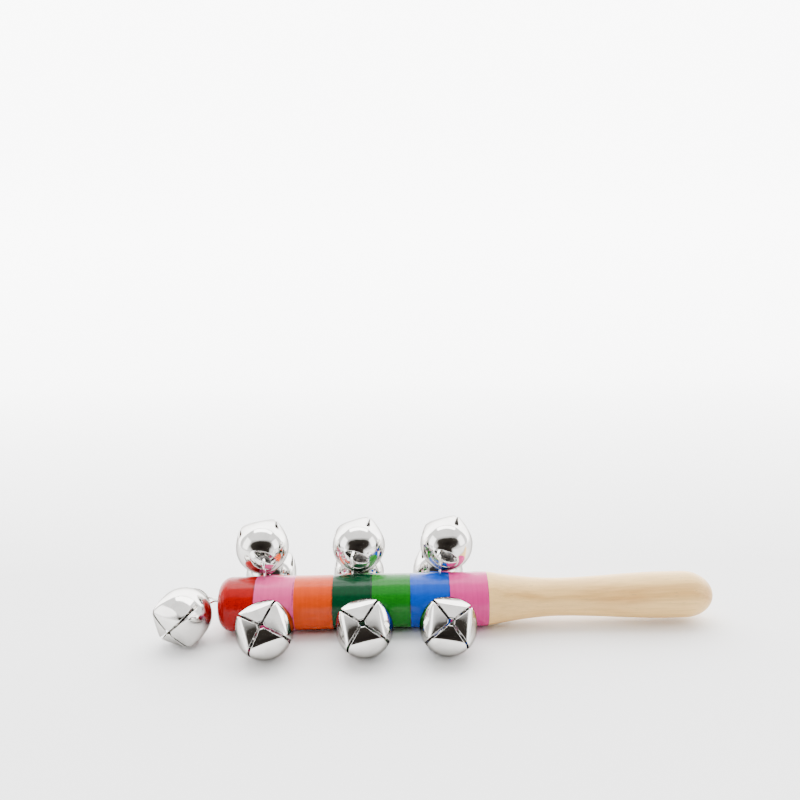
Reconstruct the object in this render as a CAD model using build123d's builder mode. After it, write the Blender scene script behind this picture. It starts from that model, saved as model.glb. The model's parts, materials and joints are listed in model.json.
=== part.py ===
from build123d import *

from math import cos, radians, sin, sqrt
import os
from typing import NamedTuple

# Hand sleigh bells: a turned wooden stick that carries three rows of three small jingle bells
# and one more at its tip. Each bell hangs in the eye of a wire split pin driven into the wood,
# and holds a loose iron pellet. The stick lies along X with its tip at -X, all on the ground.

# Stick (lengths from the tip's end, radii from its axis)
STICK_RADIUS = 9.9
BARREL_LENGTH = 100.4
HANDLE_LENGTH = 84.4
TIP_ROUNDING = 4.5
TIP_DOME = 0.6
WAIST_RADIUS = 6.95
WAIST_FROM_BARREL = 27.0
GRIP_RADIUS = 8.5
GRIP_FROM_BARREL = 67.0
HANDLE_CAP = 10.9

# Bell shell (lengths from the bell's centre)
BELL_RADIUS = 10.25
SHELL_THICKNESS = 0.55
MOUTH_CORNER = 4.8
MOUTH_TURN = 45.0
SLOT_WIDTH = 0.9
SLOT_END_DIAMETER = 1.6
SLOT_END_HEIGHT = 0.4
MOUTH_GAP_DIAMETER = 2.2
STRAP_ARCH_RADIUS = 5.6
STRAP_TOP = 12.05
STRAP_HALF_ANGLE = 68.5
STRAP_WIDTH = 2.4
STRAP_THICKNESS = 0.5
OPENING_LENGTH = 9.2
OPENING_WIDTH = 7.0

# Pellet
PELLET_DIAMETER = 6.0
PELLET_CLEARANCE = 0.05

# Eye pin (wire bent to a ring with two parallel legs)
WIRE_DIAMETER = 0.9
EYE_RADIUS = 2.3
NECK_RADIUS = 1.2
LEG_SPACING = 1.3
EYE_HEIGHT = 4.0
LEG_DEPTH = 6.0
TOP_EYE_HEIGHT = 5.4
TIP_EYE_HEIGHT = 4.2
TIP_PIN_LIFT = 1.65

# Swing of a bell about its eye, each way from the line of its pin. A bell that rests on the
# ground stops just past it instead.
SWING_LIMIT = 66.0
TOP_SWING_LIMIT = 70.0
TIP_SWING_LIMIT = 54.0
REST_MARGIN = 0.8


class Hanging(NamedTuple):
    """Where one bell's pin stands, and how the bell happens to lie in its eye (degrees)."""

    name: str
    pin_x: float
    bearing: float
    twist: float
    slide: float
    tilt: float
    roll: float
    swing: float | None


# A bearing is the pin's direction round the stick: 90 is up, 180 is the front. The twist turns
# the pin about its legs. The slide, tilt and roll are the bell's play along and in its eye. A
# swing of None lets the bell lie on the ground.
HANGINGS = [
    Hanging("top_1", 17.7, 90, -5, -2, -6, 37, 80.0),
    Hanging("top_2", 50.4, 90, 0, 10, 5, 23, 78.5),
    Hanging("top_3", 83.0, 90, 2, 17, 6, 23, 77.0),
    Hanging("front_1", 20.0, 210, 0, 8, 0, -25, None),
    Hanging("front_2", 55.6, 210, 0, 6, -3, -33, None),
    Hanging("front_3", 83.7, 210, 0, 0, 4, 36, None),
    Hanging("back_1", 16.6, 343, 3, -5, -4, -31, None),
    Hanging("back_2", 50.9, 343, -4, 4, 3, 27, None),
    Hanging("back_3", 83.5, 343, 0, 4, -2, -37, None),
    Hanging("tip", 0.0, 180, 0, 30, -17, 40, 64.0),
]


def is_tip(bell):
    """True for the bell at the stick's end."""
    return bell.name == "tip"


def is_top(bell):
    """True for the bells of the top row, whose pins stand higher."""
    return bell.bearing == 90


def pin_axes(bell):
    """The pin's outward direction, the bell's swing direction and the eye's axis."""
    if is_tip(bell):
        out = Vector(-1, 0, 0)
        swung = Vector(0, -1, 0)
        return out, swung, out.cross(swung)
    bearing = radians(bell.bearing)
    out = Vector(0, cos(bearing), sin(bearing))
    swung = Vector(0, sin(bearing), -cos(bearing))
    if bell.bearing > 270:
        swung = swung * -1
    twist = radians(bell.twist)
    swung = swung * cos(twist) + Vector(1, 0, 0) * sin(twist)
    return out, swung, out.cross(swung)


def eye_centre(bell):
    """The centre of the pin's eye, from the stick's axis at its tip end."""
    out, _, _ = pin_axes(bell)
    if is_tip(bell):
        return out * TIP_EYE_HEIGHT + Vector(0, 0, TIP_PIN_LIFT)
    height = TOP_EYE_HEIGHT if is_top(bell) else EYE_HEIGHT
    return Vector(bell.pin_x, 0, 0) + out * (STICK_RADIUS + height)


def bell_plane(bell, swing):
    """The bell's own plane at a swing: X along its strap, Z out of its mouth, origin centre."""
    out, swung, axis = pin_axes(bell)
    along = axis
    if axis.X < -0.5:
        along = axis * -1
    angle = radians(swing)
    tilt = radians(bell.tilt)
    roll = radians(bell.roll)
    slide = radians(bell.slide)
    hanging = out * cos(angle) + swung * sin(angle)
    mouth = hanging * cos(tilt) + along * sin(tilt)
    strap = along * cos(tilt) - hanging * sin(tilt)
    strap = strap * cos(roll) + mouth.cross(strap) * sin(roll)
    arch_centre = STRAP_TOP - STRAP_ARCH_RADIUS
    reach = arch_centre + STRAP_ARCH_RADIUS * cos(slide)
    centre = eye_centre(bell) + mouth * reach + strap * (STRAP_ARCH_RADIUS * sin(slide))
    return Plane(centre, x_dir=strap, z_dir=mouth)


def resting_swing(bell):
    """The swing at which the bell rests, found by halving where it lies on the ground."""
    if bell.swing is not None:
        return bell.swing
    low, high = 30.0, 90.0
    for _ in range(40):
        middle = (low + high) / 2
        if bell_plane(bell, middle).origin.Z + STICK_RADIUS < BELL_RADIUS:
            low = middle
        else:
            high = middle
    return low


def swing_range(bell):
    """The bell's travel about its eye in degrees, counted from rest."""
    rest = resting_swing(bell)
    if is_tip(bell):
        return -TIP_SWING_LIMIT - rest, REST_MARGIN
    if is_top(bell):
        return -TOP_SWING_LIMIT - rest, REST_MARGIN
    return -SWING_LIMIT - rest, REST_MARGIN


# Middle of the whole object, so that the origin lies below its centre
REST_PLANES = {bell.name: bell_plane(bell, resting_swing(bell)) for bell in HANGINGS}
LEFT_END = REST_PLANES["tip"].origin.X - BELL_RADIUS
RIGHT_END = BARREL_LENGTH + HANDLE_LENGTH
BELL_SIDES = [plane.origin.Y for plane in REST_PLANES.values()]
STICK_START = Vector(
    -(LEFT_END + RIGHT_END) / 2,
    -(min(BELL_SIDES) + max(BELL_SIDES)) / 2,
    STICK_RADIUS,
)


def at_rest(bell):
    """The bell's plane where it rests."""
    plane = REST_PLANES[bell.name]
    return Plane(plane.origin + STICK_START, x_dir=plane.x_dir, z_dir=plane.z_dir)


def pin_plane(bell):
    """The pin's own plane: X along the eye's axis, Z out of the wood, origin the eye's centre."""
    out, _, axis = pin_axes(bell)
    return Plane(eye_centre(bell) + STICK_START, x_dir=axis, z_dir=out)


def finish(part, name):
    """Labels one piece and writes it."""
    part.label = name
    export_step(part, f"parts/{name}.step")


def half_profile(radius, corner):
    """Half of the bell's outline: a ball drawn in to a flat mouth, as a face in X-Z."""
    turn = radians(MOUTH_TURN)
    corner_centre = (radius - corner) * cos(turn), (radius - corner) * sin(turn)
    shoulder = radius * cos(turn), radius * sin(turn)
    half_turn = radians((MOUTH_TURN + 90) / 2)
    middle = (
        corner_centre[0] + corner * cos(half_turn),
        corner_centre[1] + corner * sin(half_turn),
    )
    rim = corner_centre[0], corner_centre[1] + corner
    with BuildSketch(Plane.XZ) as profile:
        with BuildLine():
            ThreePointArc((0, -radius), (radius, 0), shoulder)
            ThreePointArc(shoulder, middle, rim)
            Line(rim, (0, rim[1]))
            Line((0, rim[1]), (0, -radius))
        make_face()
    return profile.sketch


def make_bell_form():
    """One bell shell about its own centre: strap along X at the bottom, mouth at the top."""
    arch_centre = STRAP_TOP - STRAP_ARCH_RADIUS
    outside = half_profile(BELL_RADIUS, MOUTH_CORNER)
    inside = half_profile(BELL_RADIUS - SHELL_THICKNESS, MOUTH_CORNER - SHELL_THICKNESS)
    with BuildPart() as form:
        revolve(outside, axis=Axis.Z)
        revolve(inside, axis=Axis.Z, mode=Mode.SUBTRACT)
        for turn in (0, 90):
            with BuildSketch(Plane.XY.offset(SLOT_END_HEIGHT)):
                Rectangle(3 * BELL_RADIUS, SLOT_WIDTH, rotation=turn)
            extrude(amount=2 * BELL_RADIUS, mode=Mode.SUBTRACT)
            side = Plane((0, 0, 0), x_dir=(0, 0, 1), z_dir=(cos(radians(turn)), sin(radians(turn)), 0))
            with BuildSketch(side):
                with Locations((SLOT_END_HEIGHT, 0)):
                    Circle(SLOT_END_DIAMETER / 2)
            extrude(amount=2 * BELL_RADIUS, both=True, mode=Mode.SUBTRACT)
        with BuildSketch(Plane.XY):
            Circle(MOUTH_GAP_DIAMETER / 2)
        extrude(amount=2 * BELL_RADIUS, mode=Mode.SUBTRACT)
        with BuildSketch(Plane.XY):
            Ellipse(OPENING_LENGTH / 2, OPENING_WIDTH / 2)
        extrude(amount=-2 * BELL_RADIUS, mode=Mode.SUBTRACT)
        with BuildSketch(Plane.XZ):
            with BuildLine():
                CenterArc(
                    (0, -arch_centre),
                    STRAP_ARCH_RADIUS,
                    -90 - STRAP_HALF_ANGLE,
                    2 * STRAP_HALF_ANGLE,
                )
                offset(amount=STRAP_THICKNESS / 2, side=Side.BOTH)
            make_face()
        extrude(amount=STRAP_WIDTH / 2, both=True)
    return form.part


def make_pin_form():
    """One eye pin about its eye's centre: eye in Y-Z, both legs down into the wood."""
    leg = LEG_SPACING / 2
    neck_y = leg + NECK_RADIUS
    neck_z = -sqrt((EYE_RADIUS + NECK_RADIUS) ** 2 - neck_y**2)
    share = EYE_RADIUS / (EYE_RADIUS + NECK_RADIUS)
    eye_foot = neck_y * share, neck_z * share
    leg_end = -EYE_HEIGHT - LEG_DEPTH
    with BuildPart() as form:
        with BuildLine(Plane.YZ) as wire:
            Line((-leg, leg_end), (-leg, neck_z))
            RadiusArc((-leg, neck_z), (-eye_foot[0], eye_foot[1]), -NECK_RADIUS)
            ThreePointArc((-eye_foot[0], eye_foot[1]), (0, EYE_RADIUS), eye_foot)
            RadiusArc(eye_foot, (leg, neck_z), -NECK_RADIUS)
            Line((leg, neck_z), (leg, leg_end))
        with BuildSketch(Plane(wire.line @ 0, z_dir=wire.line % 0)):
            Circle(WIRE_DIAMETER / 2)
        sweep()
    return form.part


def make_stick(pins):
    """The turned stick, with the pins' legs let into it."""
    length = BARREL_LENGTH + HANDLE_LENGTH
    cap_centre = length - HANDLE_CAP
    rounding = STICK_RADIUS - TIP_ROUNDING
    lean = sqrt(0.5) * TIP_ROUNDING
    with BuildPart() as stick:
        with BuildSketch(Plane(STICK_START, x_dir=(1, 0, 0), z_dir=(0, -1, 0))):
            with BuildLine():
                ThreePointArc((0, 0), (TIP_DOME / 4, rounding / 2), (TIP_DOME, rounding))
                ThreePointArc(
                    (TIP_DOME, rounding),
                    (TIP_DOME + TIP_ROUNDING - lean, rounding + lean),
                    (TIP_DOME + TIP_ROUNDING, STICK_RADIUS),
                )
                Line((TIP_DOME + TIP_ROUNDING, STICK_RADIUS), (BARREL_LENGTH, STICK_RADIUS))
                Spline(
                    (BARREL_LENGTH, STICK_RADIUS),
                    (BARREL_LENGTH + WAIST_FROM_BARREL, WAIST_RADIUS),
                    (BARREL_LENGTH + GRIP_FROM_BARREL, GRIP_RADIUS),
                    (cap_centre, GRIP_RADIUS),
                    tangents=((1, -0.3), (1, 0)),
                )
                EllipticalCenterArc((cap_centre, 0), HANDLE_CAP, GRIP_RADIUS, arc_size=90)
                Line((length, 0), (0, 0))
            make_face()
        revolve(axis=Axis((0, STICK_START.Y, STICK_START.Z), (1, 0, 0)))
        for pin in pins:
            add(pin, mode=Mode.SUBTRACT)
    finish(stick.part, "stick")


def make_bell(bell, bell_form, pin_form):
    """One bell's shell, pellet and eye pin, where they rest. Gives back the pin."""
    with BuildPart() as shell:
        with Locations(at_rest(bell).location):
            add(bell_form)
    finish(shell.part, f"bell_shell_{bell.name}")

    drop = BELL_RADIUS - SHELL_THICKNESS - PELLET_DIAMETER / 2 - PELLET_CLEARANCE
    with BuildPart() as pellet:
        with Locations(at_rest(bell).origin - Vector(0, 0, drop)):
            Sphere(PELLET_DIAMETER / 2)
    finish(pellet.part, f"pellet_{bell.name}")

    with BuildPart() as pin:
        with Locations(pin_plane(bell).location):
            add(pin_form)
    finish(pin.part, f"eye_pin_{bell.name}")
    return pin.part


os.makedirs("parts", exist_ok=True)
bell_form = make_bell_form()
pin_form = make_pin_form()
pins = [make_bell(bell, bell_form, pin_form) for bell in HANGINGS]
make_stick(pins)
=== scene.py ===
"""Hand sleigh bells: the finished looks of a wooden stick with rows of jingle bells."""

import json
from math import asin, atan2, cos, exp, hypot, log2, pi, radians, sin, sqrt, tan

import bmesh
import bpy
from bpy.props import FloatProperty, FloatVectorProperty, PointerProperty
from mathutils import Matrix, Vector


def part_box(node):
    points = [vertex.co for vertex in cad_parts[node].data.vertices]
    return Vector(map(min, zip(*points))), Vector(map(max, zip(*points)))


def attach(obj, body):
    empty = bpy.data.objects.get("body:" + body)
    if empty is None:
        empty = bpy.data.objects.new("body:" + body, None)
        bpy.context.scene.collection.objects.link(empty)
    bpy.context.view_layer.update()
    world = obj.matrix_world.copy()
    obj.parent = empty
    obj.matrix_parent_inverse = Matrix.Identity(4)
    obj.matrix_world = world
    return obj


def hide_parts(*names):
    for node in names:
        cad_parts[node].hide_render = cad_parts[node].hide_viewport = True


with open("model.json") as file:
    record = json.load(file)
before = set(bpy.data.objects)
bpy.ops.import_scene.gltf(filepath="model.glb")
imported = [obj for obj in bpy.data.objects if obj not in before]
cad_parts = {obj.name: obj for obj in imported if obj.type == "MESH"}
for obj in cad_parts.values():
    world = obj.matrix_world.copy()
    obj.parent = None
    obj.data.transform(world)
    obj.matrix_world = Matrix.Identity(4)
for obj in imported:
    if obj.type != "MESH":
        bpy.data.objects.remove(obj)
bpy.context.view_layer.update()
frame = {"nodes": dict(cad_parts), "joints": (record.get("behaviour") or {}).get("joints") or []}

bl_info = {
    "name": "Hand Sleigh Bells",
    "version": (1, 0, 0),
    "blender": (4, 5, 0),
    "location": "View3D > Sidebar > Sleigh Bells",
    "description": "Builds a banded wooden bell stick with its jingle bells",
    "category": "Add Mesh",
}

MM = 0.001

JOINTS = {joint["name"]: joint for joint in frame["joints"]}
STICK_LOW, STICK_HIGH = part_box("stick")
STICK_CENTRE = (STICK_LOW + STICK_HIGH) / 2
BARREL_RADIUS = (STICK_HIGH.z - STICK_LOW.z) / 2

# The camera stands square in front of this distance from the stick's tip end.
CAMERA_STATION = 69.5 * MM

# How each bell happens to lie in its eye: slide along the strap, tilt and roll, in degrees.
BELL_LIES = {
    "top_1": (-2, -6, 37),
    "top_2": (10, 5, 23),
    "top_3": (17, 6, 23),
    "front_1": (8, 0, -25),
    "front_2": (6, -3, -33),
    "front_3": (0, 4, 36),
    "back_1": (-5, -4, -31),
    "back_2": (4, 3, 27),
    "back_3": (4, -2, -37),
    "tip": (30, -17, 40),
}


def srgb(red, green, blue):
    """A colour given as 0 to 255 display values, in Blender's linear values."""
    return tuple((value / 255) ** 2.2 for value in (red, green, blue))


def colour_property(name, description, default):
    """A colour that shows in the sidebar."""
    return FloatVectorProperty(
        name=name, description=description, default=default, subtype="COLOR", min=0, max=1
    )


def length_property(name, description, default):
    """A length in metres that shows in the sidebar."""
    return FloatProperty(
        name=name, description=description, default=default, subtype="DISTANCE",
        unit="LENGTH", precision=5, min=0,
    )


class StickProperties(bpy.types.PropertyGroup):
    """Sizes and colours of the turned stick."""

    barrel_length: length_property(
        "Barrel length", "Painted part, from the tip's end", 100.4 * MM
    )
    tip_rounding: length_property("Tip rounding", "Radius of the tip's edge", 4.5 * MM)
    tip_dome: length_property("Tip dome", "How far the tip's end stands out", 0.6 * MM)
    waist_radius: length_property("Waist radius", "Thinnest part of the handle", 6.95 * MM)
    grip_radius: length_property("Grip radius", "Thickest part of the handle", 8.5 * MM)
    handle_cap: length_property("Handle cap", "Length of the handle's round end", 10.9 * MM)
    paint_step: length_property("Paint step", "Thickness of the paint's edge", 0.06 * MM)
    band_1: colour_property("Band 1", "Paint at the tip", srgb(150, 3, 6))
    band_2: colour_property("Band 2", "Paint of the second band", srgb(206, 72, 128))
    band_3: colour_property("Band 3", "Paint of the third band", srgb(200, 66, 8))
    band_4: colour_property("Band 4", "Paint of the fourth band", srgb(3, 60, 35))
    band_5: colour_property("Band 5", "Paint of the fifth band", srgb(22, 106, 28))
    band_6: colour_property("Band 6", "Paint of the sixth band", srgb(4, 68, 168))
    band_7: colour_property("Band 7", "Paint beside the handle", srgb(198, 54, 124))
    wood_light: colour_property("Light wood", "Wood between the grain lines", srgb(232, 190, 122))
    wood_dark: colour_property("Dark wood", "Grain lines and pores", srgb(198, 148, 86))


class BellProperties(bpy.types.PropertyGroup):
    """Sizes and finish of the jingle bells."""

    # The shell is a little smaller than the solid it stands for, so that neighbours clear.

    radius: length_property("Radius", "Outside of the bell's round back", 10.06 * MM)
    sheet: length_property("Sheet", "Thickness of the pressed sheet", 0.37 * MM)
    slot_half_width: length_property("Slot half width", "Half of a slot's width", 0.42 * MM)
    strap_half_width: length_property("Strap half width", "Half of the strap's width", 1.2 * MM)
    strap_top: length_property("Strap top", "Strap's middle from the bell's centre", 12.05 * MM)
    strap_arch: length_property("Strap arch", "Radius of the strap's arch", 5.6 * MM)
    pellet_drop: length_property("Pellet drop", "Pellet's centre below the bell's", 6.65 * MM)
    plate: colour_property("Plate", "Bright nickel plate", (0.72, 0.705, 0.68))
    roughness: FloatProperty(
        name="Roughness", description="Polish of the plate", default=0.07,
        min=0, max=1, subtype="FACTOR",
    )


class PinProperties(bpy.types.PropertyGroup):
    """Sizes of the wire eye pins."""

    wire_radius: length_property("Wire radius", "Half of the wire's thickness", 0.45 * MM)
    eye_radius: length_property("Eye radius", "Ring of the eye, to the wire's middle", 2.3 * MM)
    neck_radius: length_property("Neck radius", "Bend from the eye into a leg", 1.2 * MM)
    leg_half_gap: length_property("Leg half gap", "Leg's middle from the pin's", 0.65 * MM)
    leg_length: length_property("Leg length", "Leg's end from the eye's centre", 9.0 * MM)


class StageProperties(bpy.types.PropertyGroup):
    """Camera, floor and lights."""

    distance: length_property("Distance", "Camera from the stick", 0.300)
    elevation: FloatProperty(
        name="Elevation", description="Camera above the ground, seen from the stick",
        default=radians(26.23), subtype="ANGLE",
    )
    aim_above: FloatProperty(
        name="Aim above", description="How far the camera aims above the stick",
        default=radians(14.5), subtype="ANGLE",
    )
    roll: FloatProperty(
        name="Roll", description="Camera's lean about its own axis",
        default=radians(-1.26), subtype="ANGLE",
    )
    lens: FloatProperty(name="Lens", description="Focal length", default=34.8, unit="CAMERA")
    floor: colour_property("Floor", "Pale floor and backdrop", (0.86, 0.86, 0.86))


# Materials ---------------------------------------------------------------------------------


def new_material(name):
    """An empty node material with its output and one principled shader."""
    material = bpy.data.materials.new(name)
    material.use_nodes = True
    tree = material.node_tree
    tree.nodes.clear()
    output = tree.nodes.new("ShaderNodeOutputMaterial")
    shader = tree.nodes.new("ShaderNodeBsdfPrincipled")
    tree.links.new(shader.outputs["BSDF"], output.inputs["Surface"])
    return material, tree, shader


def place(tree, stretch=(1, 1, 1), turn=(0, 0, 0)):
    """The piece's own coordinates, scaled by stretch."""
    coordinates = tree.nodes.new("ShaderNodeTexCoord")
    mapping = tree.nodes.new("ShaderNodeMapping")
    mapping.inputs["Scale"].default_value = stretch
    mapping.inputs["Rotation"].default_value = turn
    tree.links.new(coordinates.outputs["Object"], mapping.inputs["Vector"])
    return mapping.outputs["Vector"]


def noise(tree, where, scale, detail=3.0, rough=0.5, distortion=0.0):
    """A noise value between 0 and 1."""
    node = tree.nodes.new("ShaderNodeTexNoise")
    node.inputs["Scale"].default_value = scale
    node.inputs["Detail"].default_value = detail
    node.inputs["Roughness"].default_value = rough
    node.inputs["Distortion"].default_value = distortion
    tree.links.new(where, node.inputs["Vector"])
    return node.outputs["Fac"]


def ramp(tree, value, stops, interpolation="LINEAR"):
    """Turns a value into a colour. Stops are (position, colour)."""
    node = tree.nodes.new("ShaderNodeValToRGB")
    node.color_ramp.interpolation = interpolation
    elements = node.color_ramp.elements
    while len(elements) < len(stops):
        elements.new(0.5)
    for element, (position, colour) in zip(elements, stops):
        element.position = position
        element.color = (*colour, 1.0)
    tree.links.new(value, node.inputs["Fac"])
    return node.outputs["Color"]


def spread(tree, value, low, high, new_low, new_high):
    """Maps a value from one range to another."""
    node = tree.nodes.new("ShaderNodeMapRange")
    for name, number in (
        ("From Min", low), ("From Max", high), ("To Min", new_low), ("To Max", new_high),
    ):
        node.inputs[name].default_value = number
    tree.links.new(value, node.inputs["Value"])
    return node.outputs["Result"]


def math(tree, operation, first, second):
    """One sum. Each side is a socket or a number."""
    node = tree.nodes.new("ShaderNodeMath")
    node.operation = operation
    for socket, side in zip(node.inputs, (first, second)):
        if isinstance(side, (int, float)):
            socket.default_value = side
        else:
            tree.links.new(side, socket)
    return node.outputs["Value"]


def blend_colours(tree, share, first, second, kind="MIX"):
    """Mixes two colours by a share."""
    node = tree.nodes.new("ShaderNodeMix")
    node.data_type = "RGBA"
    node.blend_type = kind
    for socket, side in ((node.inputs[0], share), (node.inputs[6], first), (node.inputs[7], second)):
        if isinstance(side, (int, float)):
            socket.default_value = side
        elif isinstance(side, tuple):
            socket.default_value = (*side, 1.0)
        else:
            tree.links.new(side, socket)
    return node.outputs[2]


def bump(tree, shader, height, distance, strength=1.0, below=None):
    """Gives the shader a bump from a height value, on top of another bump."""
    node = tree.nodes.new("ShaderNodeBump")
    node.inputs["Distance"].default_value = distance
    node.inputs["Strength"].default_value = strength
    tree.links.new(height, node.inputs["Height"])
    if below is not None:
        tree.links.new(below, node.inputs["Normal"])
    tree.links.new(node.outputs["Normal"], shader.inputs["Normal"])
    return node.outputs["Normal"]


def position_along(tree, axis="X"):
    """The piece's own coordinate along one axis, in metres."""
    coordinates = tree.nodes.new("ShaderNodeTexCoord")
    separate = tree.nodes.new("ShaderNodeSeparateXYZ")
    tree.links.new(coordinates.outputs["Object"], separate.inputs["Vector"])
    return separate.outputs[axis]


def paint_material(settings):
    """Glossy brushed-on paint in bands, whose joints wander and show a thin dark line."""
    material, tree, shader = new_material("banded_gloss_paint")
    start = STICK_LOW.x
    end = start + settings.barrel_length
    colours = [getattr(settings, f"band_{number}") for number in range(1, 8)]
    wander = spread(tree, noise(tree, place(tree), 260, 2), 0, 1, -0.0015, 0.0015)
    along = spread(tree, position_along(tree), start, end, 0, 1)
    along = math(tree, "ADD", along, wander)
    stops = [(number / 7, tuple(colour)) for number, colour in enumerate(colours)]
    paint = ramp(tree, along, stops, "CONSTANT")
    # Thin and thick paint: streaks run round the stick, because it is painted as it turns.
    streaks = noise(tree, place(tree, (900, 60, 60)), 1.0, 4, 0.6)
    paint = blend_colours(
        tree, 0.22, paint, ramp(tree, streaks, [(0.3, (0.62,) * 3), (0.7, (1.25,) * 3)]), "MULTIPLY"
    )
    band = math(tree, "FRACT", math(tree, "MULTIPLY", along, 7.0), 0)
    edge = math(tree, "MINIMUM", band, math(tree, "SUBTRACT", 1.0, band))
    line = spread(tree, edge, 0.006, 0.022, 1.0, 0.0)
    gaps = spread(tree, noise(tree, place(tree), 420, 2), 0.35, 0.65, 0, 0.8)
    line = math(tree, "MULTIPLY", line, gaps)
    paint = blend_colours(tree, line, paint, (0.03, 0.02, 0.02))
    tree.links.new(paint, shader.inputs["Base Color"])
    rough = spread(tree, noise(tree, place(tree, (1, 1, 1)), 700, 3), 0.3, 0.7, 0.16, 0.26)
    tree.links.new(rough, shader.inputs["Roughness"])
    shader.inputs["Specular IOR Level"].default_value = 0.16
    shader.inputs["IOR"].default_value = 1.5
    ridges = noise(tree, place(tree, (2200, 30, 30)), 1.0, 3, 0.55)
    normal = bump(tree, shader, ridges, 0.00002, 0.5)
    peel = noise(tree, place(tree), 380, 2)
    normal = bump(tree, shader, peel, 0.00012, 0.6, normal)
    step = spread(tree, edge, 0.0, 0.03, 0.0, 1.0)
    bump(tree, shader, step, 0.00006, 0.7, normal)
    return material


def wood_material(settings):
    """Clear-lacquered light hardwood: long fine grain, small pores and a faint growth figure."""
    material, tree, shader = new_material("lacquered_hardwood")
    figure = noise(tree, place(tree, (14, 120, 120)), 1.0, 3, 0.5, 0.8)
    fibres = noise(tree, place(tree, (60, 1600, 1600)), 1.0, 4, 0.6)
    flecks = noise(tree, place(tree, (420, 2600, 2600)), 1.0, 2, 0.5)
    light, dark = tuple(settings.wood_light), tuple(settings.wood_dark)
    colour = ramp(tree, figure, [(0.30, dark), (0.52, light), (0.78, light)])
    colour = blend_colours(
        tree, 0.5, colour, ramp(tree, fibres, [(0.30, (0.72, 0.66, 0.58)), (0.62, (1.06, 1.05, 1.03))]),
        "MULTIPLY",
    )
    pores = spread(tree, flecks, 0.66, 0.74, 0.0, 0.55)
    colour = blend_colours(tree, pores, colour, (0.36, 0.23, 0.11))
    tree.links.new(colour, shader.inputs["Base Color"])
    rough = spread(tree, fibres, 0.3, 0.7, 0.30, 0.44)
    tree.links.new(rough, shader.inputs["Roughness"])
    shader.inputs["Specular IOR Level"].default_value = 0.3
    shader.inputs["Subsurface Weight"].default_value = 0.04
    shader.inputs["Subsurface Radius"].default_value = (0.0012, 0.0008, 0.0004)
    normal = bump(tree, shader, fibres, 0.00003, 0.5)
    waves = noise(tree, place(tree, (90, 60, 60)), 1.0, 2)
    bump(tree, shader, waves, 0.00012, 0.5, normal)
    return material


def nickel_material(name, colour, roughness, scratch_depth):
    """Bright nickel plate: mirror polish with hair scratches, faint haze and press marks."""
    material, tree, shader = new_material(name)
    haze = noise(tree, place(tree), 260, 4, 0.55)
    scratches = noise(tree, place(tree, (260, 4200, 2600), (0.4, 0.2, 0.9)), 1.0, 2, 0.4)
    hairs = noise(tree, place(tree, (5200, 380, 3000), (0.9, 0.5, 0.1)), 1.0, 2, 0.4)
    tint = ramp(
        tree, haze, [(0.30, tuple(0.86 * value for value in colour)), (0.62, tuple(colour))]
    )
    tree.links.new(tint, shader.inputs["Base Color"])
    shader.inputs["Metallic"].default_value = 1.0
    shader.inputs["Specular Tint"].default_value = (0.30, 0.29, 0.28, 1.0)
    rough = spread(tree, haze, 0.3, 0.72, 0.7 * roughness, 1.7 * roughness)
    worn = spread(tree, scratches, 0.62, 0.75, 0.0, 0.14)
    tree.links.new(math(tree, "ADD", rough, worn), shader.inputs["Roughness"])
    normal = bump(tree, shader, scratches, scratch_depth, 0.25)
    normal = bump(tree, shader, hairs, scratch_depth, 0.2, normal)
    ripple = noise(tree, place(tree), 150, 2)
    bump(tree, shader, ripple, 0.00016, 0.35, normal)
    return material


def iron_material():
    """Tumbled iron shot, dull with small pits."""
    material, tree, shader = new_material("tumbled_iron")
    pits = noise(tree, place(tree), 1400, 5, 0.6)
    colour = ramp(tree, pits, [(0.3, (0.10, 0.085, 0.075)), (0.65, (0.34, 0.33, 0.32))])
    tree.links.new(colour, shader.inputs["Base Color"])
    shader.inputs["Metallic"].default_value = 0.9
    tree.links.new(spread(tree, pits, 0.3, 0.7, 0.65, 0.35), shader.inputs["Roughness"])
    bump(tree, shader, pits, 0.00012, 0.8)
    return material


def floor_material(colour):
    """Matt pale floor with a very faint mottle and a glow behind the object."""
    material, tree, shader = new_material("pale_floor")
    mottle = noise(tree, place(tree), 9, 3)
    shade = ramp(
        tree, mottle, [(0.3, tuple(0.985 * value for value in colour)), (0.7, tuple(colour))]
    )
    tree.links.new(shade, shader.inputs["Base Color"])
    shader.inputs["Roughness"].default_value = 0.75
    shader.inputs["Specular IOR Level"].default_value = 0.2
    # The floor glows behind the object, more and more towards the backdrop.
    glow_start, glow_full, glow_strength = 0.05, 0.9, 7.0
    behind = position_along(tree, "Y")
    glow = spread(tree, behind, glow_start, glow_full, 0.0, glow_strength)
    tree.links.new(glow, shader.inputs["Emission Strength"])
    shader.inputs["Emission Color"].default_value = (1.0, 1.0, 1.0, 1.0)
    return material


# Shapes ------------------------------------------------------------------------------------


def catmull(points, share):
    """A smooth curve through points with two values each, at a share from 0 to 1."""
    spans = len(points) - 1
    span = min(int(share * spans), spans - 1)
    t = share * spans - span
    p0 = points[max(span - 1, 0)]
    p1, p2 = points[span], points[span + 1]
    p3 = points[min(span + 2, spans)]
    return tuple(
        0.5 * (2 * b + (c - a) * t + (2 * a - 5 * b + 4 * c - d) * t**2
               + (3 * b - a - 3 * c + d) * t**3)
        for a, b, c, d in zip(p0, p1, p2, p3)
    )


def make_piece(name, mesh, material, body, replaced):
    """Links a mesh as a piece that rides on a body and stands for a CAD node."""
    piece = bpy.data.objects.new(name, mesh)
    bpy.context.scene.collection.objects.link(piece)
    if not mesh.materials:
        mesh.materials.append(material)
    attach(piece, body)
    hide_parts(replaced)
    return piece


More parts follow.
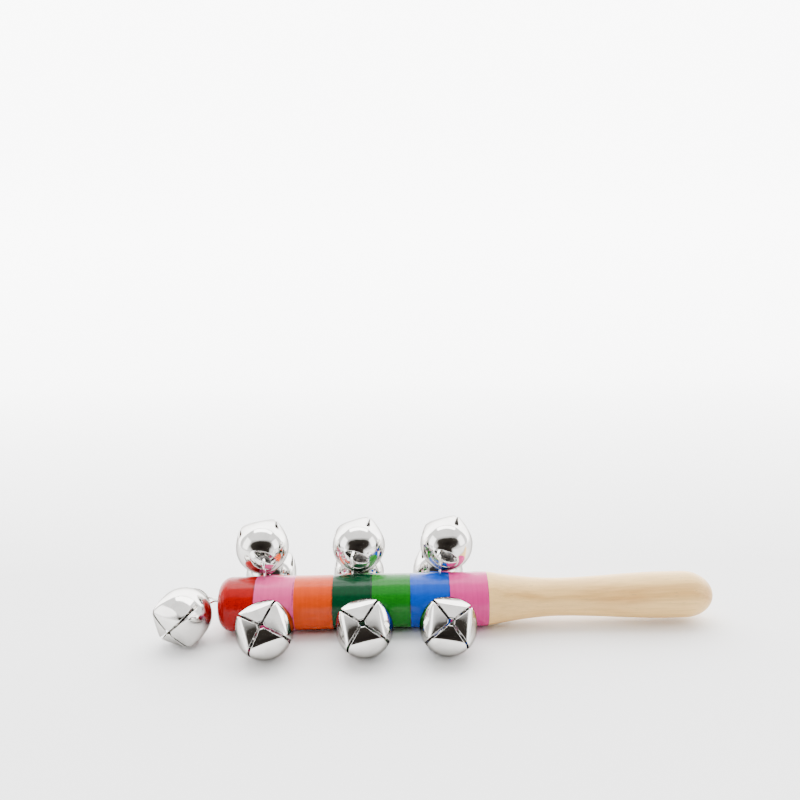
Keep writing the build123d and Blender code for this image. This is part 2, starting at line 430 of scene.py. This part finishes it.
def finish_mesh(bm, name, smooth=True):
    """Turns a bmesh into a mesh with outward faces."""
    bmesh.ops.recalc_face_normals(bm, faces=bm.faces)
    mesh = bpy.data.meshes.new(name)
    bm.to_mesh(mesh)
    bm.free()
    for polygon in mesh.polygons:
        polygon.use_smooth = smooth
    return mesh


def stick_radius(settings, x):
    """The stick's radius at a distance from the tip's end."""
    length = STICK_HIGH.x - STICK_LOW.x
    rounding, dome = settings.tip_rounding, settings.tip_dome
    if x < dome:
        return (BARREL_RADIUS - rounding) * sqrt(max(x, 0) / dome)
    if x < dome + rounding:
        return BARREL_RADIUS - rounding + sqrt(rounding**2 - (dome + rounding - x) ** 2)
    if x < settings.barrel_length:
        return BARREL_RADIUS
    if x > length - settings.handle_cap:
        past = (x - length + settings.handle_cap) / settings.handle_cap
        return settings.grip_radius * sqrt(max(1 - past**2, 0))
    return handle_radius(settings, x - settings.barrel_length)


def handle_radius(settings, past):
    """The bare handle's radius at a distance past the paint: a cove, a waist and a swell."""
    waist_at, grip_at = 27 * MM, 67 * MM
    shoulder = BARREL_RADIUS - settings.paint_step
    if past < waist_at:
        t = past / waist_at
        rise = (1 - t) ** 2 * (1 + 0.35 * t)
        return settings.waist_radius + (shoulder - settings.waist_radius) * rise
    t = min((past - waist_at) / (grip_at - waist_at), 1)
    rise = t * t * (3 - 2 * t)
    return settings.waist_radius + (settings.grip_radius - settings.waist_radius) * rise


def pin_feet():
    """Where each pin enters the stick, and the direction out of the wood there."""
    feet = []
    for name in BELL_LIES:
        eye, out = pin_eye(name)
        foot = eye - out * (eye - STICK_CENTRE).dot(out)
        depth = -STICK_LOW.x + STICK_CENTRE.x if name == "tip" else BARREL_RADIUS
        feet.append((foot + out * depth, out))
    return feet


def pin_eye(name):
    """The centre of a pin's eye and the direction out of the wood."""
    eye = Vector(JOINTS[f"bell_{name}_swing"]["pos_m"])
    if name == "tip":
        return eye, Vector((-1, 0, 0))
    return eye, Vector((0, eye.y - STICK_CENTRE.y, eye.z - STICK_CENTRE.z)).normalized()


def lathe_stations(settings):
    """Distances from the tip's end where the stick gets a ring: close together on its curves."""
    length = STICK_HIGH.x - STICK_LOW.x
    dome, rounding, cap = settings.tip_dome, settings.tip_rounding, settings.handle_cap
    stations = [dome * (step / 6) ** 2 for step in range(1, 6)]
    stations += [dome + rounding * (1 - cos(pi / 2 * step / 12)) for step in range(13)]
    paint_end = settings.barrel_length
    start = dome + rounding
    stations += [start + (paint_end - start) * step / 150 for step in range(1, 150)]
    stations += [paint_end - 0.12 * MM, paint_end, paint_end + 0.04 * MM]
    past = length - cap
    stations += [paint_end + (past - paint_end) * step / 90 for step in range(1, 91)]
    stations += [past + cap * sin(pi / 2 * step / 24) for step in range(1, 24)]
    return stations


def stick_mesh(settings):
    """The turned stick: rings round its axis, raised a little where a pin was driven in."""
    segments = 128
    feet = pin_feet()
    pucker_height, pucker_width = 0.16 * MM, 1.3 * MM
    bm = bmesh.new()

    def point(x, angle):
        radius = stick_radius(settings, x)
        if x < settings.barrel_length - 0.05 * MM:
            radius += 0.02 * MM * sin(x / (0.9 * MM)) * (0.5 + 0.5 * sin(x / (7.3 * MM)))
        spot = Vector((
            STICK_LOW.x + x,
            STICK_CENTRE.y + radius * sin(angle),
            STICK_CENTRE.z + radius * cos(angle),
        ))
        for foot, out in feet:
            away = (spot - foot).length / pucker_width
            if away < 3:
                spot += out * (pucker_height * exp(-away * away))
        return spot

    first = bm.verts.new((STICK_LOW.x, STICK_CENTRE.y, STICK_CENTRE.z))
    last = bm.verts.new((STICK_HIGH.x, STICK_CENTRE.y, STICK_CENTRE.z))
    rings = []
    for x in lathe_stations(settings):
        rings.append([
            bm.verts.new(point(x, 2 * pi * index / segments)) for index in range(segments)
        ])
    for index in range(segments):
        following = (index + 1) % segments
        bm.faces.new((first, rings[0][index], rings[0][following]))
        bm.faces.new((last, rings[-1][following], rings[-1][index]))
        for near, far in zip(rings, rings[1:]):
            bm.faces.new((near[index], far[index], far[following], near[following]))
    paint_end = STICK_LOW.x + settings.barrel_length - 0.02 * MM
    for face in bm.faces:
        face.material_index = int(face.calc_center_median().x > paint_end)
    return finish_mesh(bm, "stick")


# The bell's outline above its widest line, in millimetres for a bell of this radius: half
# width and height, first at the middle of a petal and then at the corner beside a slot.
OUTLINE_RADIUS = 9.9
PETAL_MIDDLE = [
    (9.9, 0.0), (9.82, 1.3), (9.55, 2.6), (9.08, 3.9), (8.42, 5.15), (7.62, 6.3), (6.8, 7.25),
    (5.9, 7.92), (4.7, 8.26), (3.4, 8.47), (2.2, 8.62), (1.05, 8.72),
]
PETAL_CORNER = [
    (9.9, 0.0), (9.96, 1.3), (9.98, 2.6), (9.9, 3.9), (9.72, 5.15), (9.4, 6.25), (8.9, 7.1),
    (7.9, 7.72), (6.4, 8.08), (4.7, 8.36), (3.0, 8.58), (1.45, 8.74),
]
# The bell's round back is a square grid of columns out to this angle from its middle. Columns
# stand at the strap's edge, at its end and at a slot's edge, in millimetres from the middle.
CAP_ANGLE = radians(48)
STRAP_EDGE = 1.3
STRAP_COLUMN = 4.8
SLOT_EDGE = 0.42
# Rows round the belt between the back and the slots, and rows up each petal
BELT_ROWS = 14
PETAL_SPANS = len(PETAL_MIDDLE) - 1
PETAL_SHARES = [0.0, 0.35, 0.75] + [1 + 0.5 * index for index in range(21)]


def bell_columns():
    """Directions across one quarter of the bell, in radians from a petal's middle."""
    strap_edge = asin(asin(STRAP_EDGE / OUTLINE_RADIUS) / CAP_ANGLE / sqrt(2))
    strap_end = asin(asin(STRAP_COLUMN / OUTLINE_RADIUS) / CAP_ANGLE / sqrt(2))
    slot_edge = pi / 4 - asin(SLOT_EDGE / OUTLINE_RADIUS)
    half = [strap_edge * step / 2 for step in range(2)]
    half += [strap_edge + (strap_end - strap_edge) * step / 6 for step in range(6)]
    half += [strap_end + (slot_edge - strap_end) * step / 6 for step in range(7)]
    half += [pi / 4]
    return [-angle for angle in reversed(half[1:])] + half, strap_edge, strap_end


def petal_point(settings, share, angle, edge_angle):
    """A point of a petal, at a share of the way to the mouth's middle."""
    middle, middle_height = catmull(PETAL_MIDDLE, share)
    corner, corner_height = catmull(PETAL_CORNER, share)
    ratio = min(max(corner / middle, 1.0), 1.395)
    power = min(1 / log2(sqrt(2) / ratio), 60) if ratio > 1.0005 else 2.0
    slot = settings.slot_half_width / MM
    slot += 0.36 * exp(-(((middle_height - 0.7) / 1.5) ** 2))
    limit = pi / 4 - asin(min(slot / corner, 0.6))
    turn = angle / edge_angle * limit
    reach = middle / cos(turn) / (1 + abs(tan(turn)) ** power) ** (1 / power)
    share_out = (tan(abs(turn))) ** 2
    height = middle_height + (corner_height - middle_height) * share_out
    scale = settings.radius / OUTLINE_RADIUS
    return reach * scale, turn, height * scale


def strap_height(settings, x, sphere):
    """How far the strap's outside stands from the bell's centre, merged into the round back."""
    arch_centre = settings.strap_top - settings.strap_arch
    outside = settings.strap_arch + settings.sheet / 2
    arch = arch_centre + sqrt(max(outside**2 - x * x, 0.0)) if abs(x) < outside else 0.0
    merge = 0.35 * MM
    return 0.5 * (sphere + arch + sqrt((arch - sphere) ** 2 + merge**2)) - 0.5 * merge * exp(
        -((max(arch - sphere, 0) / merge) ** 2)
    )


def bell_mesh(settings):
    """One bell shell: a raised strap over a lens-shaped opening, a belt and four petals."""
    radius = settings.radius
    columns, strap_edge, strap_end = bell_columns()
    count = len(columns) - 1
    bm = bmesh.new()
    slit = [index for index, angle in enumerate(columns) if abs(abs(angle) - strap_edge) < 1e-9]
    ends = [index for index, angle in enumerate(columns) if abs(abs(angle) - strap_end) < 1e-9]
    half_width, opening = settings.strap_half_width, 2.3 * MM
    strap_reach = STRAP_COLUMN * MM

    def cap_spot(i, j):
        p, q = sqrt(2) * sin(columns[i]), sqrt(2) * sin(columns[j])
        across, up = p * sqrt(1 - q * q / 2), q * sqrt(1 - p * p / 2)
        polar = CAP_ANGLE * hypot(across, up)
        turn = atan2(up, across)
        return radius * sin(polar) * cos(turn), radius * sin(polar) * sin(turn)

    def on_back(x, y, lift=0.0):
        height = sqrt(max(radius**2 - x * x - y * y, 0.0))
        scale = (radius + lift) / radius
        return Vector((x * scale, y * scale, -height * scale))

    def back_vertex(i, j):
        x, y = cap_spot(i, j)
        lift = 0.0
        _, slit_y = cap_spot(i, slit[1])
        if abs(x) < strap_reach and abs(y) > half_width * 0.5:
            bow = half_width + opening * (1 - (x / strap_reach) ** 2) ** 0.75
            past = (abs(y) - abs(slit_y)) / (6.2 * MM)
            fade = max(1 - past, 0) ** 2
            y += (bow - abs(slit_y)) * fade * (1 if y > 0 else -1)
            lift = 0.22 * MM * exp(-(((abs(y) - bow) / (0.7 * MM)) ** 2))
        elif abs(x) >= strap_reach:
            sphere = sqrt(max(radius**2 - x * x - y * y, 0.0))
            raised = strap_height(settings, x, sphere)
            lift = max(raised - sphere, 0) * exp(-((y / half_width) ** 2))
        return on_back(x, y, lift)

    def strap_vertex(i, j):
        x, _ = cap_spot(i, j)
        width_share = sin(columns[j]) / sin(strap_edge)
        y = half_width * width_share
        sphere = sqrt(max(radius**2 - x * x - y * y, 0.0))
        height = strap_height(settings, x, sphere) - 0.10 * MM * width_share**2
        return Vector((x, y, -height))

    low_end, high_end = ends
    low_slit, high_slit = slit
    back, strap = {}, {}
    for i in range(count + 1):
        for j in range(count + 1):
            if low_slit <= j <= high_slit and low_end <= i <= high_end:
                strap[i, j] = bm.verts.new(strap_vertex(i, j))
                inside = low_end < i < high_end
                if inside and j in slit:
                    back[i, j] = bm.verts.new(back_vertex(i, j))
                elif not inside:
                    back[i, j] = strap[i, j]
            else:
                back[i, j] = bm.verts.new(back_vertex(i, j))
    for i in range(count):
        for j in range(count):
            on_strap = low_slit <= j < high_slit and low_end <= i < high_end
            source = strap if on_strap else back
            bm.faces.new((source[i, j], source[i + 1, j], source[i + 1, j + 1], source[i, j + 1]))

    around = []
    for index in range(4 * count):
        quarter, j = divmod(index, count)
        around.append((
            back[count, j], back[count - j, count], back[0, count - j], back[j, 0],
        )[quarter])
    rows = [around]

    def full_row(height, twist):
        ring = sqrt(radius**2 - height**2)
        return [
            bm.verts.new((
                ring * cos(quarter * pi / 2 + columns[j] + twist),
                ring * sin(quarter * pi / 2 + columns[j] + twist),
                height,
            ))
            for quarter in range(4)
            for j in range(count)
        ]

    slot_foot = -0.55 * MM
    start, stop = CAP_ANGLE, pi / 2 + asin(slot_foot / radius)
    for step in range(1, BELT_ROWS + 1):
        share = step / BELT_ROWS
        polar = start + (stop - start) * share
        rows.append(full_row(-radius * cos(polar), pi / 4 * share))
    for near, far in zip(rows, rows[1:]):
        for index in range(4 * count):
            following = (index + 1) % (4 * count)
            bm.faces.new((near[index], near[following], far[following], far[index]))

    edge_angle = columns[-2]
    foot_row = rows[-1]
    for quarter in range(4):
        below = [foot_row[(quarter * count + j) % (4 * count)] for j in range(1, count)]
        for share in PETAL_SHARES:
            row = []
            for j in range(1, count):
                reach, turn, height = petal_point(
                    settings, share / PETAL_SPANS, columns[j], edge_angle
                )
                turn += quarter * pi / 2 + pi / 4
                row.append(bm.verts.new((reach * cos(turn), reach * sin(turn), height)))
            for j in range(count - 2):
                bm.faces.new((below[j], below[j + 1], row[j + 1], row[j]))
            below = row
    return finish_mesh(bm, "bell_shell")


def bell_place(settings, name):
    """The bell's own frame at rest: X along its strap, Z out of its mouth, at its centre."""
    slide, tilt, roll = (radians(value) for value in BELL_LIES[name])
    joint = JOINTS[f"bell_{name}_swing"]
    along = Vector(joint["axis"]).normalized()
    if along.x < -0.5:
        along.negate()
    low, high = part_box(f"pellet_{name}")
    centre = (low + high) / 2 + Vector((0, 0, settings.pellet_drop))
    apart = centre - Vector(joint["pos_m"])
    apart -= along * apart.dot(along)
    reach = settings.strap_top - settings.strap_arch * (1 - cos(slide))
    shift = settings.strap_arch * sin(slide)
    lever = reach * cos(tilt) - shift * cos(roll) * sin(tilt)
    rise = shift * sin(roll)
    hanging = (apart * lever - apart.cross(along) * rise).normalized()
    mouth = hanging * cos(tilt) + along * sin(tilt)
    strap = along * cos(tilt) - hanging * sin(tilt)
    strap = strap * cos(roll) + mouth.cross(strap) * sin(roll)
    side = mouth.cross(strap)
    turn = Matrix((strap, side, mouth)).transposed().to_4x4()
    return Matrix.Translation(centre) @ turn


def pin_path(settings):
    """The wire's middle line in the pin's plane: up one leg, round the eye and down again."""
    leg, eye, neck = settings.leg_half_gap, settings.eye_radius, settings.neck_radius
    neck_across = leg + neck
    neck_up = -sqrt((eye + neck) ** 2 - neck_across**2)
    meet = atan2(-neck_up, -neck_across)
    points = [(leg, -settings.leg_length), (leg, neck_up - 0.6 * MM)]
    points += [
        (neck_across + neck * cos(angle), neck_up + neck * sin(angle))
        for angle in (pi + (meet - pi) * step / 8 for step in range(9))
    ]
    foot = atan2(neck_up, neck_across)
    turns = [foot + (pi / 2 - foot) * step / 22 for step in range(1, 23)]
    points += [(eye * cos(angle), eye * sin(angle)) for angle in turns]
    return points + [(-across, up) for across, up in reversed(points[:-1])]


def pin_mesh(settings, name):
    """One eye pin: round wire swept along its path."""
    eye, out = pin_eye(name)
    axis = Vector(JOINTS[f"bell_{name}_swing"]["axis"]).normalized()
    across = out.cross(axis).normalized()
    path = pin_path(settings)
    segments = 20
    bm = bmesh.new()
    rings = []
    for index, (y, z) in enumerate(path):
        before, after = path[max(index - 1, 0)], path[min(index + 1, len(path) - 1)]
        along = (across * (after[0] - before[0]) + out * (after[1] - before[1])).normalized()
        normal = along.cross(axis)
        spot = eye + across * y + out * z
        rings.append([
            bm.verts.new(
                spot + settings.wire_radius * (
                    normal * cos(2 * pi * turn / segments) + axis * sin(2 * pi * turn / segments)
                )
            )
            for turn in range(segments)
        ])
    for near, far in zip(rings, rings[1:]):
        for turn in range(segments):
            following = (turn + 1) % segments
            bm.faces.new((near[turn], far[turn], far[following], near[following]))
    bm.faces.new(rings[0])
    bm.faces.new(rings[-1])
    return finish_mesh(bm, f"eye_pin_{name}")


# Operators ---------------------------------------------------------------------------------


class SLEIGHBELLS_OT_add_stick(bpy.types.Operator):
    """Builds the turned stick with its painted bands and bare handle"""

    bl_idname = "sleighbells.add_stick"
    bl_label = "Add Stick"

    def execute(self, context):
        settings = context.scene.sleigh_bells_stick
        mesh = stick_mesh(settings)
        mesh.materials.append(paint_material(settings))
        mesh.materials.append(wood_material(settings))
        make_piece("stick_turned", mesh, None, "stick", "stick")
        return {"FINISHED"}


class SLEIGHBELLS_OT_add_eye_pins(bpy.types.Operator):
    """Builds the wire eye pin of each bell"""

    bl_idname = "sleighbells.add_eye_pins"
    bl_label = "Add Eye Pins"

    def execute(self, context):
        settings = context.scene.sleigh_bells_pin
        wire = nickel_material("plated_wire", (0.74, 0.73, 0.71), 0.12, 0.00001)
        for name in BELL_LIES:
            mesh = pin_mesh(settings, name)
            make_piece(f"eye_wire_{name}", mesh, wire, "stick", f"eye_pin_{name}")
        return {"FINISHED"}


class SLEIGHBELLS_OT_add_bells(bpy.types.Operator):
    """Builds the pressed jingle bells and finishes their pellets"""

    bl_idname = "sleighbells.add_bells"
    bl_label = "Add Bells"

    def execute(self, context):
        settings = context.scene.sleigh_bells_bell
        plate = nickel_material("nickel_plate", settings.plate, settings.roughness, 0.000006)
        iron = iron_material()
        shell = bell_mesh(settings)
        for name in BELL_LIES:
            mesh = shell.copy()
            mesh.transform(bell_place(settings, name))
            piece = make_piece(
                f"bell_{name}", mesh, plate, f"bell_{name}", f"bell_shell_{name}"
            )
            add_sheet(settings, piece)
            pellet = frame["nodes"][f"pellet_{name}"]
            pellet.data.materials.clear()
            pellet.data.materials.append(iron)
        bpy.data.meshes.remove(shell)
        return {"FINISHED"}


def add_sheet(settings, piece):
    """Gives a bell its sheet thickness and rounds the sheet's cut edges."""
    sheet = piece.modifiers.new("sheet", "SOLIDIFY")
    sheet.thickness = settings.sheet
    sheet.offset = -1
    sheet.edge_crease_rim = 0.55
    smooth = piece.modifiers.new("smooth", "SUBSURF")
    smooth.levels = 1
    smooth.render_levels = 1


class SLEIGHBELLS_OT_add_stage(bpy.types.Operator):
    """Builds the floor with its backdrop, the soft lights and the camera"""

    bl_idname = "sleighbells.add_stage"
    bl_label = "Add Stage"

    def execute(self, context):
        settings = context.scene.sleigh_bells_stage
        add_backdrop(settings)
        add_world()
        add_lights()
        add_camera(settings)
        return {"FINISHED"}


def add_backdrop(settings):
    """A pale floor that curves up behind the object."""
    half_width, front, back, height, bend = 3.0, -3.0, 1.1, 2.6, 0.6
    profile = [(front, 0.0), (back - bend, 0.0)]
    profile += [
        (back - bend + bend * sin(angle), bend * (1 - cos(angle)))
        for angle in (pi / 2 * step / 16 for step in range(1, 17))
    ]
    profile.append((back, height))
    bm = bmesh.new()
    sides = [[bm.verts.new((x, y, z)) for y, z in profile] for x in (-half_width, half_width)]
    for index in range(len(profile) - 1):
        bm.faces.new((
            sides[0][index], sides[1][index], sides[1][index + 1], sides[0][index + 1],
        ))
    mesh = finish_mesh(bm, "backdrop")
    mesh.materials.append(floor_material(settings.floor))
    backdrop = bpy.data.objects.new("backdrop", mesh)
    bpy.context.scene.collection.objects.link(backdrop)


def add_world():
    """Soft white surroundings with a darker room in front of the object."""
    world = bpy.data.worlds.new("soft_room")
    bpy.context.scene.world = world
    world.use_nodes = True
    tree = world.node_tree
    tree.nodes.clear()
    output = tree.nodes.new("ShaderNodeOutputWorld")
    background = tree.nodes.new("ShaderNodeBackground")
    tree.links.new(background.outputs["Background"], output.inputs["Surface"])
    # A dark oval in front, wider than high, where the room stays unlit.
    oval = tree.nodes.new("ShaderNodeMapping")
    coordinates = tree.nodes.new("ShaderNodeTexCoord")
    tree.links.new(coordinates.outputs["Generated"], oval.inputs["Vector"])
    oval.inputs["Scale"].default_value = (1.0, 0.8, 2.1)
    oval.inputs["Location"].default_value = (-0.05, 0.75, -0.84)
    length = tree.nodes.new("ShaderNodeVectorMath")
    length.operation = "LENGTH"
    tree.links.new(oval.outputs["Vector"], length.inputs[0])
    shade = ramp(
        tree, length.outputs["Value"],
        [(0.0, (0.010, 0.008, 0.007)), (0.74, (0.03, 0.026, 0.022)), (1.0, (1.0,) * 3)],
    )
    tree.links.new(shade, background.inputs["Color"])
    background.inputs["Strength"].default_value = 2.1


def add_light(name, place_at, target, size, power):
    """One square soft light."""
    light = bpy.data.lights.new(name, "AREA")
    light.shape = "RECTANGLE"
    light.size, light.size_y = size
    light.energy = power
    lamp = bpy.data.objects.new(name, light)
    lamp.location = place_at
    lamp.rotation_euler = (Vector(target) - Vector(place_at)).to_track_quat("-Z", "Y").to_euler()
    bpy.context.scene.collection.objects.link(lamp)


def add_lights():
    """A long soft light above and a weaker one on each side."""
    add_light("top_light", (0.0, 0.15, 0.75), (0, 0, 0), (0.9, 0.22), 5.0)
    add_light("left_light", (-0.75, -0.2, 0.3), (0, 0, 0.01), (0.4, 0.5), 2.2)
    add_light("right_light", (0.75, -0.2, 0.3), (0, 0, 0.01), (0.4, 0.5), 2.2)


def add_camera(settings):
    """The camera in front of the stick, looking a little above it."""
    data = bpy.data.cameras.new("camera")
    camera = bpy.data.objects.new("camera", data)
    bpy.context.scene.collection.objects.link(camera)
    elevation = settings.elevation
    base = Vector((STICK_LOW.x + CAMERA_STATION, STICK_CENTRE.y, BARREL_RADIUS))
    back = Vector((0, -cos(elevation), sin(elevation)))
    camera.location = base + back * settings.distance
    pitch = elevation - settings.aim_above
    look = Vector((0, cos(pitch), -sin(pitch)))
    turn = look.to_track_quat("-Z", "Y").to_matrix() @ Matrix.Rotation(settings.roll, 3, "Z")
    camera.rotation_euler = turn.to_euler()
    data.sensor_width = 36.0
    data.lens = settings.lens
    data.clip_start, data.clip_end = 0.01, 20.0
    bpy.context.scene.camera = camera


class SLEIGHBELLS_PT_panel(bpy.types.Panel):
    """Lists the pieces of the sleigh bells"""

    bl_idname = "SLEIGHBELLS_PT_panel"
    bl_label = "Sleigh Bells"
    bl_space_type = "VIEW_3D"
    bl_region_type = "UI"
    bl_category = "Sleigh Bells"

    def draw(self, context):
        for operator in OPERATORS:
            self.layout.operator(operator.bl_idname)


PROPERTIES = {
    "sleigh_bells_stick": StickProperties,
    "sleigh_bells_bell": BellProperties,
    "sleigh_bells_pin": PinProperties,
    "sleigh_bells_stage": StageProperties,
}
OPERATORS = (
    SLEIGHBELLS_OT_add_stage,
    SLEIGHBELLS_OT_add_stick,
    SLEIGHBELLS_OT_add_eye_pins,
    SLEIGHBELLS_OT_add_bells,
)


def register():
    """Registers every class and puts the settings on the scene."""
    for group in (*PROPERTIES.values(), *OPERATORS, SLEIGHBELLS_PT_panel):
        bpy.utils.register_class(group)
    for name, group in PROPERTIES.items():
        setattr(bpy.types.Scene, name, PointerProperty(type=group))


def unregister():
    """Takes the settings and classes away again."""
    for name in PROPERTIES:
        delattr(bpy.types.Scene, name)
    for group in (SLEIGHBELLS_PT_panel, *OPERATORS, *PROPERTIES.values()):
        bpy.utils.unregister_class(group)


def main():
    """Builds everything."""
    register()
    bpy.ops.sleighbells.add_stage()
    bpy.ops.sleighbells.add_stick()
    bpy.ops.sleighbells.add_eye_pins()
    bpy.ops.sleighbells.add_bells()


if __name__ == "__main__":
    main()
